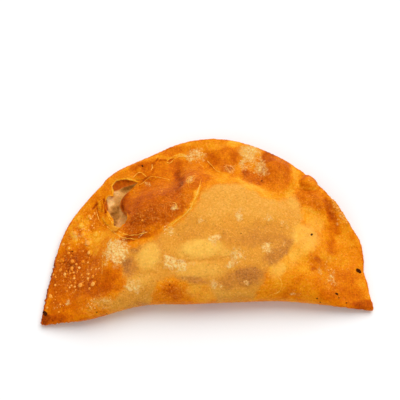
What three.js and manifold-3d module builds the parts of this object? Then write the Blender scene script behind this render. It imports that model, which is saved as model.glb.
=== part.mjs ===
// A fried beef empanada: a large half-moon turnover, sealed round its curved edge and folded along its front.
// Millimetres, +Z up. The fold runs along X at the front, and the sealed edge curves behind it, towards +Y.
// It is one closed solid. A block of small cells is bent into the turnover: the block's front is the fold,
// its back and two sides are the sealed edge, and its top and bottom are the two faces of the dough. A hollow
// is then cut where the skin of a blister has torn away.
import * as THREE from "three";
import { mergeVertices } from "three/addons/utils/BufferGeometryUtils.js";
import { ImprovedNoise } from "three/addons/math/ImprovedNoise.js";
import Module from "manifold-3d";

// Size of the whole
const LENGTH = 157; // from tip to tip
const DEPTH = 89.6; // from the line through the tips to the crown of the sealed edge
const SEAL_THICKNESS = 2.6; // two sheets of dough, pressed together
const FILLED_THICKNESS = 21.5; // both faces, over the middle of the filling

// Dough and filling
const SEAL_WIDTH = 9; // flat margin outside the filling
const SHOULDER = 21; // distance over which a face climbs from the margin to its full height
const NOSE = 13; // how far in from the fold the rounding goes
const CROWN = { y: 38, across: 74, back: 50, share: 0.3 }; // share of the swelling for the middle alone
const TOP_SHARE = 0.54; // share of the swelling that is on the upper face
const FOLD_ROUND = 0.2; // how far the fold stands out in the middle of its thickness
const CUT_ROUND = 0.4; // the same at the cut edge of the seal

const UNEVENNESS = [ // waves of hand-rolled dough: their height and their length
  { height: 0.9, length: 16 },
  { height: 0.4, length: 7.2 },
];
const UNEVEN_INSIDE = 7; // how far in from the edges the waves reach their full height
const BLISTER_INSIDE = 4; // the same for the blisters
const BLISTER_WOBBLE = { share: 0.16, length: 6 }; // how far a blister's outline leaves a true oval
const BLISTER_STEEPNESS = 0.8; // power of a blister's section: the lower, the steeper at its rim

// How it sits on the table
const TIP_LIFT = 1.7; // middle of the dough's thickness above the table, at the tips
const MIDDLE_LIFT = 8.8; // the same over the filling
const DROOP = 3.2; // how late the dough starts to fall towards the tips: the higher, the later
const BACK_DROOP = 0.3; // share of the lift that is lost at the crown of the sealed edge
const REST_BLEND = 0.8; // height over which the underside rounds into its flat resting face
const LIFT_REACH = [3, 20]; // distances from the edge between which a hand-made lift of the edge dies out
const LIFT_START = [4, 22]; // y between which the lifts set in, so that the tips stay down

// The fold: it stands back from the line through the tips, level in the middle and falling to each tip
const FOLD_STEP = 5.3;
const FOLD_LEFT = [-62, -29]; // x where it starts to step back, and where it has
const FOLD_RIGHT = [84, 27];
const FOLD_HUMP = { x: -24, by: 0.7, over: 9 }; // a further step back, over about that far each way

// Cells
const ALONG = 62;
const ACROSS = 35;
const THROUGH = 2;
const CORNER = 0.25; // share of the sealed edge that each short side of the block makes
const SIDE_CROWDING = 0.05; // how far the cells crowd towards the two short sides
const FOLD_CROWDING = 0.15; // share of the cells that crowd at the fold, where the faces turn steeply

// The sealed edge is half an ellipse, pulled out and in by hand. Angles in degrees from the right tip, over
// the crown, to the left tip. Pulls are outwards and lifts upwards, over about that many degrees each way.
const EDGE_PULLS = [
  { at: 5, by: -1.1, over: 4 },
  { at: 12, by: -1.4, over: 3 },
  { at: 22, by: 2.4, over: 5 },
  { at: 50, by: 1, over: 18 },
  { at: 83, by: 1, over: 9 },
  { at: 111, by: -3.3, over: 11 },
  { at: 134, by: -2.4, over: 12 },
  { at: 164, by: -2, over: 12 },
];
const TIP_FADE = 40; // at each tip the pulls fade out over one part in this many of the edge
const EDGE_LIFTS = [
  { at: 19, by: -1, over: 7 },
  { at: 36, by: 2.6, over: 9 },
  { at: 72, by: 1.1, over: 8 },
  { at: 98, by: -1.2, over: 10 },
  { at: 133, by: 1.3, over: 11 },
  { at: 158, by: -0.8, over: 8 },
];

// Blisters of the upper face: centre, half length, half width, turn in degrees, and height. A steep one rises
// like a bubble, and a soft one like a swelling.
const TOP_BLISTERS = [
  { x: -25, y: 53, a: 15.5, b: 14, turn: 30, height: 3.6 },
  { x: -6, y: 61.5, a: 16.5, b: 7, turn: 80, height: 3 },
  { x: -20, y: 72, a: 13, b: 4, turn: 20, height: 1.3 },
  { x: -40.5, y: 60, a: 14.5, b: 9.5, turn: 60, height: 1.8 },
  { x: 11, y: 79, a: 9.8, b: 8, turn: 40, height: 2.8 },
  { x: 37.8, y: 69, a: 13.5, b: 9, turn: 105, height: 3.6 },
  { x: 52.6, y: 64.4, a: 5, b: 4.6, turn: 30, height: 2.4 },
  { x: 54, y: 54, a: 8.4, b: 5.4, turn: -20, height: 1.9 },
  { x: -1.5, y: 28.5, a: 14, b: 5.5, turn: 0, height: 1 },
  { x: -27, y: 25.5, a: 7, b: 6, turn: 30, height: 0.9 },
  { x: 50, y: 31, a: 11, b: 10, turn: 60, height: 1.5 },
  { x: -64, y: 28, a: 14, b: 6, turn: 70, height: 1.2 },
];
const UNDER_BLISTERS = [
  { x: -50, y: 40, a: 8, b: 6, turn: 40, height: 1.6 },
  { x: -20, y: 74, a: 9, b: 6, turn: 20, height: 2 },
  { x: 18, y: 76, a: 11, b: 6.5, turn: -15, height: 2.1 },
  { x: 46, y: 60, a: 8, b: 6, turn: -40, height: 1.8 },
  { x: 60, y: 26, a: 6, b: 8, turn: 10, height: 1.3 },
];

// The torn blister: where the thin skin has broken away, the soft inner dough shows in a hollow. Its ragged
// outline on the plan, how deep it goes, the dough left under it, and the cells and margin of what cuts it.
const TEAR_OUTLINE = [
  [-29.8, 67.9], [-33.8, 64.1], [-37, 61.2], [-39.3, 56.3], [-37.7, 51.1], [-35.5, 47.5], [-36.4, 43.2],
  [-40.5, 41.8], [-42.6, 46.2], [-46.3, 52.5], [-47.2, 56.5], [-45.4, 60.2], [-42.6, 61.2], [-44, 66],
  [-42.3, 68.6], [-36.4, 69.6],
];
const TEAR_DEPTH = 3.4;
const TEAR_FLOOR = 1.9;
const TEAR_CELLS = 14;
const TEAR_MARGIN = 2;
const TOP_LAYER = 2; // layers of the noise, so that the two faces and the hollow's floor differ
const UNDER_LAYER = 20;
const HOLLOW_LAYER = 40;

// The groove inside the lifted edge on the right: the line it follows, its half width, its depth, and the share
// of the depth by which the underside goes down with it, so that the dough bends there and isn't cut through
const GROOVE = { from: [61.5, 54], to: [63.5, 36], half: 2.5, depth: 1.9, through: 0.8 };

const { clamp, degToRad, lerp, smoothstep } = THREE.MathUtils;
const noise = new ImprovedNoise();
const HALF = LENGTH / 2;

// Sum of hand-made bumps round the edge, at an angle in degrees
function bumpsAt(bumps, degrees) {
  return bumps.reduce((sum, bump) => sum + bump.by * Math.exp(-(((degrees - bump.at) / bump.over) ** 2)), 0);
}

class SealedEdge extends THREE.Curve {
  getPoint(t, target = new THREE.Vector2()) {
    const angle = Math.PI * (1 - t);
    const outward = new THREE.Vector2(DEPTH * Math.cos(angle), HALF * Math.sin(angle)).normalize();
    const pull = bumpsAt(EDGE_PULLS, 180 * (1 - t)) * Math.min(1, TIP_FADE * t, TIP_FADE * (1 - t));
    return target.set(HALF * Math.cos(angle), DEPTH * Math.sin(angle)).addScaledVector(outward, pull);
  }
}

// The fold's place in plan, at a distance along the turnover
function foldLine(x) {
  const step = FOLD_STEP * smoothstep(x, ...FOLD_LEFT) * (1 - smoothstep(x, FOLD_RIGHT[1], FOLD_RIGHT[0]));
  return step + FOLD_HUMP.by * Math.exp(-(((x - FOLD_HUMP.x) / FOLD_HUMP.over) ** 2));
}

const EDGE_STEPS = 400;
const sealedEdge = new SealedEdge();
sealedEdge.arcLengthDivisions = EDGE_STEPS;
const edgePoints = sealedEdge.getSpacedPoints(EDGE_STEPS);
const cornerLeft = sealedEdge.getPointAt(CORNER);
const cornerRight = sealedEdge.getPointAt(1 - CORNER);

// Plan of a cell corner, s from the left to the right and t from the fold to the sealed edge, from 0 to 1.
// The four sides of the block lie on the fold and on three stretches of the sealed edge, the rest between.
function planPoint(s, t) {
  const x = lerp(-HALF, HALF, s);
  const back = sealedEdge.getPointAt(lerp(CORNER, 1 - CORNER, s));
  const left = sealedEdge.getPointAt(CORNER * t);
  const right = sealedEdge.getPointAt(1 - CORNER * t);
  const sides = left.multiplyScalar(1 - s).addScaledVector(right, s);
  const ends = new THREE.Vector2(x, foldLine(x)).multiplyScalar(1 - t).addScaledVector(back, t);
  const corners = new THREE.Vector2(x, 0).multiplyScalar(1 - t);
  corners.addScaledVector(cornerLeft, (1 - s) * t).addScaledVector(cornerRight, s * t);
  return sides.add(ends).sub(corners);
}

function distanceToEdge(p) {
  return Math.sqrt(edgePoints.reduce((least, q) => Math.min(least, q.distanceToSquared(p)), Infinity));
}

// How swollen the dough is at a point, from 0 on the seal to 1 over the filling, and round along the fold
function swelling(p, toEdge, toFold) {
  const inwards = 1 - clamp(toFold / NOSE, 0, 1);
  const out = Math.hypot(p.x / CROWN.across, (p.y - CROWN.y) / CROWN.back);
  const crown = 1 - CROWN.share * smoothstep(out, 0, 1);
  return crown * smoothstep(toEdge, SEAL_WIDTH, SEAL_WIDTH + SHOULDER) * Math.sqrt(1 - inwards * inwards);
}

// Height of the middle of the dough above the table
function middleHeight(p, toEdge) {
  const along = 1 - Math.abs(p.x / HALF) ** DROOP;
  const back = 1 - BACK_DROOP * smoothstep(p.y, DEPTH / 3, DEPTH);
  const degrees = THREE.MathUtils.radToDeg(Math.atan2(Math.max(0, p.y) / DEPTH, p.x / HALF));
  const lifted = (1 - smoothstep(toEdge, ...LIFT_REACH)) * smoothstep(p.y, ...LIFT_START);
  const arch = (MIDDLE_LIFT - TIP_LIFT) * clamp(along, 0, 1) * back;
  return TIP_LIFT + arch + lifted * bumpsAt(EDGE_LIFTS, degrees);
}

// Distance from the middle of an oval, 1 at its rim, with an uneven outline
function ovalDistance(oval, p) {
  const turn = degToRad(oval.turn);
  const x = p.x - oval.x;
  const y = p.y - oval.y;
  const u = (x * Math.cos(turn) + y * Math.sin(turn)) / oval.a;
  const v = (y * Math.cos(turn) - x * Math.sin(turn)) / oval.b;
  const { share, length } = BLISTER_WOBBLE;
  return Math.hypot(u, v) * (1 + share * noise.noise(p.x / length, p.y / length, oval.a));
}

// A bubble of dough: steep at its rim and flat on top. The highest one counts where two meet.
function blisterHeight(blisters, p) {
  return blisters.reduce((highest, blister) => {
    const out = ovalDistance(blister, p);
    return out < 1 ? Math.max(highest, blister.height * (1 - out ** 2) ** BLISTER_STEEPNESS) : highest;
  }, 0);
}

function grooveDepth(p) {
  const line = new THREE.Line3(new THREE.Vector3(...GROOVE.from, 0), new THREE.Vector3(...GROOVE.to, 0));
  const nearest = line.closestPointToPoint(new THREE.Vector3(p.x, p.y, 0), true, new THREE.Vector3());
  const off = Math.hypot(p.x - nearest.x, p.y - nearest.y) / GROOVE.half;
  return GROOVE.depth * Math.exp(-off * off);
}

function unevenness(p, layer) {
  return UNEVENNESS.reduce((sum, { height, length }) => {
    return sum + height * noise.noise(p.x / length, p.y / length, layer + length);
  }, 0);
}

// The flat resting face: nothing goes below the table, and the underside rounds into it
function rested(z) {
  if (z <= 0) return 0;
  return z < REST_BLEND ? (z * z) / (2 * REST_BLEND) : z - REST_BLEND / 2;
}

// Upper and lower height of the dough at a point of the plan
function faceHeights(p) {
  const toEdge = distanceToEdge(p);
  const toFold = p.y - foldLine(p.x);
  const middle = middleHeight(p, toEdge);
  const swell = swelling(p, toEdge, toFold) * FILLED_THICKNESS;
  const inside = smoothstep(Math.min(toEdge, toFold), 0, UNEVEN_INSIDE);
  const above = Math.hypot(SEAL_THICKNESS / 2, swell * TOP_SHARE);
  const below = Math.hypot(SEAL_THICKNESS / 2, swell * (1 - TOP_SHARE));
  const top = middle + above + inside * unevenness(p, TOP_LAYER);
  const under = middle - below + inside * unevenness(p, UNDER_LAYER);
  const flatEdge = smoothstep(toEdge, 0, BLISTER_INSIDE);
  const groove = grooveDepth(p);
  return {
    top: top + flatEdge * (blisterHeight(TOP_BLISTERS, p) - groove),
    under: rested(under - flatEdge * (blisterHeight(UNDER_BLISTERS, p) + GROOVE.through * groove) + REST_BLEND / 2),
  };
}

// Cells crowd towards the two short sides, and closely at the fold
function crowdedAlong(share) {
  return share - SIDE_CROWDING * Math.sin(2 * Math.PI * share);
}

function crowdedAcross(share) {
  return (Math.hypot(share, FOLD_CROWDING) - FOLD_CROWDING) / (Math.hypot(1, FOLD_CROWDING) - FOLD_CROWDING);
}

// How far the rounding of the fold or of the cut edge moves a point of the plan, at a share of the thickness
function edgeRounding(p, t, upwards, onEdge) {
  const round = 4 * upwards * (1 - upwards);
  if (t === 0) return new THREE.Vector2(0, -FOLD_ROUND * round);
  const outward = new THREE.Vector2(p.x / HALF ** 2, p.y / DEPTH ** 2).normalize();
  return outward.multiplyScalar(onEdge ? CUT_ROUND * round : 0);
}

// A block of cells as one closed mesh, each corner moved to where bend puts it. Bend is given the corner's
// shares of the block's length, width and height, from 0 to 1.
function bentBlock(along, across, through, bend) {
  const block = new THREE.BoxGeometry(1, 1, 1, along, across, through);
  block.deleteAttribute("normal");
  block.deleteAttribute("uv");
  const geometry = mergeVertices(block, 1e-4);
  const position = geometry.getAttribute("position");
  for (let i = 0; i < position.count; i++) {
    position.setXYZ(i, ...bend(position.getX(i) + 0.5, position.getY(i) + 0.5, position.getZ(i) + 0.5));
  }
  return geometry;
}

function turnoverGeometry() {
  return bentBlock(ALONG, ACROSS, THROUGH, (along, across, upwards) => {
    const p = planPoint(crowdedAlong(along), crowdedAcross(across));
    const heights = faceHeights(p);
    p.add(edgeRounding(p, across, upwards, along === 0 || along === 1 || across === 1));
    return [p.x, p.y, lerp(heights.under, heights.top, upwards)];
  });
}

// What the tear takes out: a block whose underside is the floor of the hollow, within the ragged outline
function tearGeometries() {
  const outline = new THREE.Shape(TEAR_OUTLINE.map(([x, y]) => new THREE.Vector2(x, y)));
  const bounds = new THREE.Box2().setFromPoints(outline.getPoints()).expandByScalar(TEAR_MARGIN);
  const above = 2 * FILLED_THICKNESS;
  const overFloor = bentBlock(TEAR_CELLS, TEAR_CELLS, 1, (along, across, upwards) => {
    const p = new THREE.Vector2(along, across).multiply(bounds.getSize(new THREE.Vector2())).add(bounds.min);
    const { top, under } = faceHeights(p);
    const floor = Math.max(top - TEAR_DEPTH + unevenness(p, HOLLOW_LAYER), under + TEAR_FLOOR);
    return [p.x, p.y, lerp(floor, above, upwards)];
  });
  const column = new THREE.ExtrudeGeometry(outline, { depth: above, bevelEnabled: false });
  column.deleteAttribute("normal");
  column.deleteAttribute("uv");
  return [overFloor, mergeVertices(column, 1e-4)];
}

const wasm = await Module();
wasm.setup();

function solidOf(geometry) {
  return new wasm.Manifold(new wasm.Mesh({
    numProp: 3,
    vertProperties: geometry.getAttribute("position").array,
    triVerts: new Uint32Array(geometry.index.array),
  }));
}

function geometryOf(solid) {
  const mesh = solid.getMesh();
  const geometry = new THREE.BufferGeometry();
  geometry.setAttribute("position", new THREE.BufferAttribute(mesh.vertProperties, 3));
  geometry.setIndex(new THREE.BufferAttribute(mesh.triVerts, 1));
  return geometry;
}

function tornTurnover() {
  const [overFloor, column] = tearGeometries().map(solidOf);
  return geometryOf(solidOf(turnoverGeometry()).subtract(overFloor.intersect(column)));
}

// The origin is under the middle of the turnover, on the table
function centred(geometry) {
  geometry.computeBoundingBox();
  const { min, max } = geometry.boundingBox;
  geometry.translate(-(min.x + max.x) / 2, -(min.y + max.y) / 2, -min.z);
  geometry.computeVertexNormals();
  return geometry;
}

const friedDough = new THREE.MeshStandardMaterial({ color: "#de8c36", roughness: 0.55, metalness: 0 });

const empanada = new THREE.Mesh(centred(tornTurnover()), friedDough);
empanada.name = "empanada";

const model = new THREE.Group();
model.add(empanada);
export default model;
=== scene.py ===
# Looks of a fried beef empanada: a half-moon turnover with a blistered, browned skin, torn at one blister
import math
import random
from collections import namedtuple
from contextlib import contextmanager

import bpy
import numpy as np
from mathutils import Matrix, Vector, noise
from mathutils.bvhtree import BVHTree


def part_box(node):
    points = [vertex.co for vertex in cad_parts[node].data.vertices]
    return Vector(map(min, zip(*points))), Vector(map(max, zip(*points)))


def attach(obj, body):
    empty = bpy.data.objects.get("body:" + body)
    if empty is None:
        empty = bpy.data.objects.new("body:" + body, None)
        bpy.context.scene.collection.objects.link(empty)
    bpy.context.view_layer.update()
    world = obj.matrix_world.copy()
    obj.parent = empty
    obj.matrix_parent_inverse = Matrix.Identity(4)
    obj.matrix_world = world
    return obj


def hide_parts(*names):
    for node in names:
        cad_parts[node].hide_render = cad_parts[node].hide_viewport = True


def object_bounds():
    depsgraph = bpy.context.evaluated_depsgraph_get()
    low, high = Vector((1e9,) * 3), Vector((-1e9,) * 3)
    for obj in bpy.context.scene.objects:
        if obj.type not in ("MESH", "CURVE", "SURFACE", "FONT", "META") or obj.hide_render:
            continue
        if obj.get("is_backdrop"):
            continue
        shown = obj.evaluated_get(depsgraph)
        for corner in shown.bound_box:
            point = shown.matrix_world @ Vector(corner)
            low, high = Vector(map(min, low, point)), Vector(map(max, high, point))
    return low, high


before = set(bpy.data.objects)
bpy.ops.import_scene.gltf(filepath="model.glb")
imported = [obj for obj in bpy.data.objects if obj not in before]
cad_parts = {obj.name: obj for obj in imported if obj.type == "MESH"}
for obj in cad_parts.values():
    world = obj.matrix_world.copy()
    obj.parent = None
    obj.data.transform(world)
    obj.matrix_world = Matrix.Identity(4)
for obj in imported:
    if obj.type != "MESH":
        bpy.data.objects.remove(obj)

CAD_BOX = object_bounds()

# Places are on the plan, in millimetres: x along the fold, and y from the tips' line to the crown
MM = 0.001
LOW, HIGH = (Vector(corner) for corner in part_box("empanada"))
LEFT_END = 78.5 * MM  # how far the left end is from the plan's zero
FOLD_ROUND = 0.2 * MM  # how far the fold stands out in front of the line through the tips
PLAN_ZERO = Vector((LOW.x + LEFT_END, LOW.y + FOLD_ROUND, 0))
MIDDLE_Y = 20  # the outline is star-shaped round the place (0, MIDDLE_Y)
SEAL_FROM = 8  # in front of this the outline is the fold, and behind it the sealed edge, which browns more

# Fineness of the skin
VOXEL = 0.9 * MM
TOP_NORMAL = -0.15  # faces whose normal points up more than this show from above, and get finer cells

# Chance: one seed for all that is scattered, and how far apart the layers of smooth noise lie
SKIN_SEED = 7
LAYER_SHIFT = 31.7

# Camera: it looks at the place AIM from this side, as the photograph does
AIM = (-0.65, 60.9)
VIEW_AZIMUTH = -2.54
VIEW_ELEVATION = 68
VIEW_DISTANCE = 0.65
LENS = 118.9
SENSOR = 36

Zone = namedtuple("Zone", "x y a b turn amount")
Streak = namedtuple("Streak", "points half amount")


def strokes(rows):
    """Zones and streaks of the skin. A row of six numbers is a zone: its centre, half length, half width,
    turn in degrees, and how strong it is there. Other rows are streaks: points, half width, and strength."""
    return [Zone(*row) if len(row) == 6 else Streak(*row) for row in rows]


# How browned the skin is, from 0 for pale to 1 for nearly burnt, painted one over the other in this order.
# Some dark streaks are painted shade in creases, crevices and the hole, as noted below
PLAIN_TOAST = 0.46
TOAST_AND_PAINTED_SHADE = strokes([
    (-62, 22, 22, 13, 70, 0.6), (-62, 24, 17, 10, 70, 0.68), (-63, 28, 7, 5, 60, 0.72),
    (-60, 31, 3, 3, 0, 0.76), (-66, 24, 4, 6, 20, 0.76), (-53, 13.5, 4, 5, 0, 0.82), (-48, 15, 8, 6, 10, 0.7),
    (-66, 16, 8, 6, 80, 0.71), (-41.6, 22.6, 2.4, 4.4, 10, 0.62), (-62, 5, 10, 4, 5, 0.6),
    (-56, 6, 4, 3, 0, 0.48), (-41, 12.6, 3, 2.6, 0, 0.62), (-70, 7, 4, 4, 0, 0.68),
    (-71, 1.2, 6, 2.4, 0, 0.78), (-64, 7, 3, 3, 0, 0.62), (-66, 12, 4, 3, 0, 0.7),
    (-57.5, 8, 3.4, 3.6, 0, 0.58), (-52, 50, 8, 15, -40, 0.56), (-55, 40, 9, 4, 125, 0.34),
    (-61, 43, 6, 4, 60, 0.5), (-64.6, 37.6, 4, 3.4, 60, 0.57), (-63, 47, 5, 2.6, 55, 0.52),
    (-57.4, 49.4, 2.6, 5, -30, 0.44), (-55.4, 53.4, 2, 4, -30, 0.54), (-53, 51, 5, 5, 0, 0.58),
    (-62, 46, 2.2, 3.4, -20, 0.38), (-56.6, 48, 2.4, 3.6, 10, 0.32), (-61.4, 41, 2.4, 1.6, 20, 0.36),
    (-56.6, 38.6, 3, 1.6, -20, 0.46), (-50.4, 41, 4.4, 3.6, 20, 0.34), (-52.6, 35, 2.6, 3.4, 0, 0.4),
    (-59.6, 43.6, 1.2, 4, 40, 0.52), (-47.6, 33, 1.6, 3.6, 0, 0.5), (-48, 63, 6, 4, 40, 0.56),
    ([(-62, 52), (-50, 68), (-36, 76.5), (-20, 82), (-4, 87)], 2.6, 0.44), (-28, 77.4, 7, 2.2, 22, 0.6),
    (-14, 84.4, 10, 2.2, 8, 0.58), (-27, 70, 4, 3, 20, 0.62),
    ([(-26.6, 71.6), (-25.6, 74), (-25.4, 78)], 1.3, 0.72), (-33, 75, 3, 1.2, 25, 0.66),
    (-25, 73, 9, 4.4, 20, 0.62), (-38, 72.4, 6, 1.8, 15, 0.5), (-17, 75, 7, 4, 20, 0.6),
    # Painted shade: the dark streaks and spots among these cracks darken their crevices
    ([(-22.6, 75.6), (-23.2, 73.8), (-23.9, 72.4)], 0.5, 0.78),
    ([(-15.6, 79.8), (-13.4, 81.4), (-11, 82.4), (-8, 83), (-5.6, 81.4)], 0.8, 0.34),
    ([(-15, 79.2), (-13.4, 80.6)], 0.4, 0.82), ([(-19.4, 78.7), (-16.8, 79.3)], 0.45, 0.72),
    (-22.4, 78, 1.4, 0.9, 30, 0.72), (-20.4, 79.6, 0.9, 0.5, 20, 0.78),
    ([(-28.6, 68.5), (-27, 69.1), (-25.8, 70.2)], 0.5, 0.78), ([(-6.8, 82), (-5.2, 81)], 0.5, 0.74),
    (-25, 55, 16, 13, 30, 0.68), (-30, 61, 5, 3, 20, 0.58), (-37, 56, 3.5, 6, 0, 0.72),
    (-25, 45.5, 13, 5, 18, 0.76), (-31.6, 36, 7.4, 2.2, 12, 0.82), (-23.4, 38.6, 4, 1.6, 30, 0.68),
    (-30, 44, 5, 3, 10, 0.76), (-27, 53, 8, 4.6, 15, 0.73), (-23, 38.6, 3, 2.4, 20, 0.56),
    (-31, 40.6, 6, 2.4, 15, 0.73), (-22, 63, 9, 3.5, 10, 0.64), (-12, 50, 6, 4.4, 40, 0.76),
    (-15.6, 55, 4, 4, 0, 0.72), (-15, 47, 6, 4, 40, 0.73), (-5.4, 63.5, 16, 6.6, 82, 0.62),
    ([(-0.7, 60.5), (-1.8, 57.6), (-3.5, 53.4), (-5.5, 49.2), (-8.7, 45.6), (-12.4, 43),
      (-16, 40.4)], 0.8, 0.36),
    # Painted shade: the two streaks in the crease near x = -12, and the streak where the large blister's skin
    # curls down into the hole
    (-4, 75, 5, 4, 0, 0.56), ([(-12.5, 55), (-12, 62), (-11, 68), (-11.6, 77)], 3, 0.74),
    ([(-11.4, 73), (-10.8, 67), (-10.2, 61.6)], 1.7, 0.83),
    ([(-33.6, 64.6), (-37.4, 61), (-39.2, 57), (-38, 52.6), (-35.6, 49.6)], 1.5, 0.84),
    (12, 66.4, 11, 2.4, -6, 0.43), (17.6, 64.6, 4, 1.8, -20, 0.32), (0.6, 66, 4.4, 3.4, 0, 0.64),
    (11, 79.5, 9, 8, 40, 0.57), (5, 82, 2.4, 6, 0, 0.58), (9, 86, 9, 2.4, -4, 0.42),
    (6, 77.4, 3.4, 4.6, 20, 0.68), (16.6, 79, 2, 3, 0, 0.68), (12, 72.4, 3, 1.6, 0, 0.7),
    (37.8, 71, 12.6, 8, 105, 0.62), (28.6, 67.4, 6, 2.6, -30, 0.62), (33.5, 78.4, 4.4, 3.4, 40, 0.76),
    (31, 70, 4, 3, 40, 0.66), (25.6, 66.8, 6.4, 3.8, -24, 0.67), (22.6, 70.6, 2.6, 2.2, 0, 0.76),
    ([(45, 78), (46.8, 71), (46, 63), (41, 57.2), (33, 56), (22, 61)], 2.3, 0.35), (17, 86.4, 3.4, 2, 0, 0.3),
    ([(52.4, 70.2), (57, 68.4), (58, 64), (56, 60.2), (51.6, 59.4), (47.6, 62), (47.8, 67),
      (52.4, 70.2)], 1, 0.32),
    (52.4, 64.8, 3.9, 3.8, 30, 0.56), ([(52.6, 61.2), (50, 62.6), (49.2, 65.6), (50.4, 67.8)], 1, 0.66),
    (53.4, 53.6, 7.2, 5.4, -20, 0.6), (53, 44, 5, 4, 10, 0.35), (49, 47.6, 3, 3, 0, 0.34),
    (68, 33, 5, 12, 8, 0.45), (60, 27, 8, 5, 0, 0.45),
    # Painted shade: these two streaks darken the groove on the right
    ([(60.2, 54), (61.6, 48), (63.6, 42), (64.6, 39)], 1.9, 0.76),
    ([(63, 42), (61.8, 36), (61, 29)], 2.6, 0.62),
    ([(43, 35), (40.4, 29), (35.6, 23), (30, 19.6)], 2.2, 0.35), (63, 12, 12, 7, 20, 0.6),
    (55.4, 12, 3, 3, 0, 0.5), (47, 20, 12, 5, 25, 0.42), (43, 23.4, 8, 3.6, 38, 0.3),
    (52.4, 20.4, 3.4, 4.4, 10, 0.54), (53.6, 22.6, 1.2, 1.6, 0, 0.66), (50.6, 17.6, 1.6, 1, 0, 0.66),
    (45, 11, 8, 4, 10, 0.46), (40, 7, 4, 2.5, 0, 0.54), (73, 11, 2.6, 5, 0, 0.46),
    (30.6, 13, 3.4, 5, 20, 0.44), (59, 5.8, 6, 2.4, -4, 0.63), (47.4, 6, 3.6, 2.2, 0, 0.46),
    (68, 7, 7, 5, 10, 0.62), (74, 2.2, 6, 2.2, 0, 0.76), (-12.6, 8.3, 10.4, 3.6, 0, 0.58),
    (-17.6, 11.4, 3.6, 2.6, 0, 0.66), (-4, 8.4, 6, 2.8, 0, 0.4),
    ([(-71.5, 33), (-73, 26), (-75.4, 18), (-76.6, 10), (-78, 1)], 1.1, 0.86), (-76.4, 2, 2.4, 2.6, 0, 0.86),
    ([(-60, 0.2), (-48, 1)], 0.6, 0.62), (-49.6, 56, 1.2, 3, 0, 0.44), (-45.6, 48.6, 1.6, 3.6, -16, 0.42),
    # Painted shade: the dark streaks and spots in the gaps beside the flakes, and the dark line of the pocket
    # at the hole's left
    (-42.8, 42.2, 2.2, 1.2, -10, 0.4), (-48.3, 57, 1, 2.6, 0, 0.62),
    ([(-51.6, 58.4), (-51.2, 54), (-50.4, 51.6)], 0.5, 0.7), ([(-47.4, 47), (-44.8, 42.4)], 0.4, 0.66),
    (-47.6, 48.6, 1.6, 2, 0, 0.44), ([(-46.7, 60), (-46.6, 57), (-46.4, 53)], 0.8, 0.9),
    (-52, 57.4, 1.5, 1, 50, 0.84), (-53.4, 56, 1, 0.7, 50, 0.8),
])

# The thin, translucent skin in the middle, sandy tan: its outline follows the browned skin on the left
WINDOW = [
    (-0.5, 57), (2, 60), (8, 62.5), (16, 63.4), (21, 61.6), (26, 58), (30, 55), (37, 54), (44, 57), (48, 53),
    (49, 45), (45.6, 37.6), (43.6, 29.6), (37.4, 21.2), (30, 17), (26.6, 10), (22, 4), (5, 3.6), (1, 9.4),
    (-6, 10.6), (-12, 12.6), (-15, 15), (-22, 13), (-26, 4), (-45, 2), (-54, 6), (-52, 9), (-43, 8),
    (-38, 13), (-40, 20), (-40.6, 25.6), (-37, 30.4), (-32, 31.6), (-28, 33), (-24, 35), (-20, 37.6),
    (-17, 40), (-11, 43), (-5, 48.5),
]

# How dark the sandy skin is, from 0 for pale to 1 where the beef shows through grey-brown. The thin zones
# along the front edge are painted shade where the fold turns under
PLAIN_SAND = 0.3
SAND_AND_SHADE = strokes([
    (18, 52, 22, 12, -5, 0.12), (10, 62, 12, 4, 0, 0.05), (22, 36, 19, 5.5, 5, 0.44),
    (23, 31.6, 8, 3.4, 5, 0.54), (34, 32, 6, 3, 0, 0.54), (-6, 38, 7, 5, 40, 0.42),
    (33.5, 24.4, 6.4, 3.4, 25, 0.7), (38.6, 26, 3, 2.2, 40, 0.72), (40.6, 29.6, 3, 2.4, 50, 0.68),
    (31.6, 20, 3, 1.6, 30, 0.66), (16, 42, 6, 3, 0, 0.36), (19, 14.6, 9.4, 4, 3, 0.7),
    (20, 15.6, 6, 2, 3, 0.78), (-6.6, 13, 8, 2, -3, 0.7), (-37.6, 22.4, 4, 6, 30, 0.8),
    (-40, 14, 3, 3, 0, 0.6), (-33, 30, 3, 2.4, 30, 0.72), (-21, 27, 2, 5, 0, 0.45),
    (8, 11.4, 4, 2.6, 0, 0.62), (9, 31, 4, 2, 0, 0.44), (-34, 8, 8, 3, 5, 0.34), (-33, 13, 5, 3, 5, 0.2),
    # Painted shade: the last three zones of this row, thin ones along the front edge where the fold turns
    # under
    (47, 47, 3, 6, 20, 0.12), (-24, 4.6, 11, 1.8, 0, 0.72), (-8, 6.4, 8, 1, 0, 0.5), (14, 5.6, 16, 1, 0, 0.5),
])

# Yellow places where the thin skin glows
GLOWS = strokes([
    (-26.2, 25.5, 6, 4.8, 60, 0.85), (25, 60.6, 7, 1.8, -22, 0.2), (43.4, 25, 5, 3, 40, 0.35),
    (-1.4, 28.2, 9.8, 4.2, 0, 1), (9, 26, 4, 1.8, -10, 0.5), (-3, 18, 11, 3.6, 0, 0.5),
    (-30, 15, 5, 3, 0, 0.3), (48.6, 33.6, 8, 6, 70, 0.7), (53.6, 41, 5, 4, 60, 0.35),
    (40, 21, 9, 3.4, 40, 0.2), (-10.6, 27.4, 2.6, 3, 0, 0.4), (-5.4, 9, 4, 2.4, 0, 0.3),
    (24.4, 82, 4.8, 4, 0, 0.6), (34, 17, 4.5, 3, 40, 0.6), (44, 54, 3, 4, 0, 0.4), (2, 7.6, 8, 2.4, 0, 0.25),
])

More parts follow.
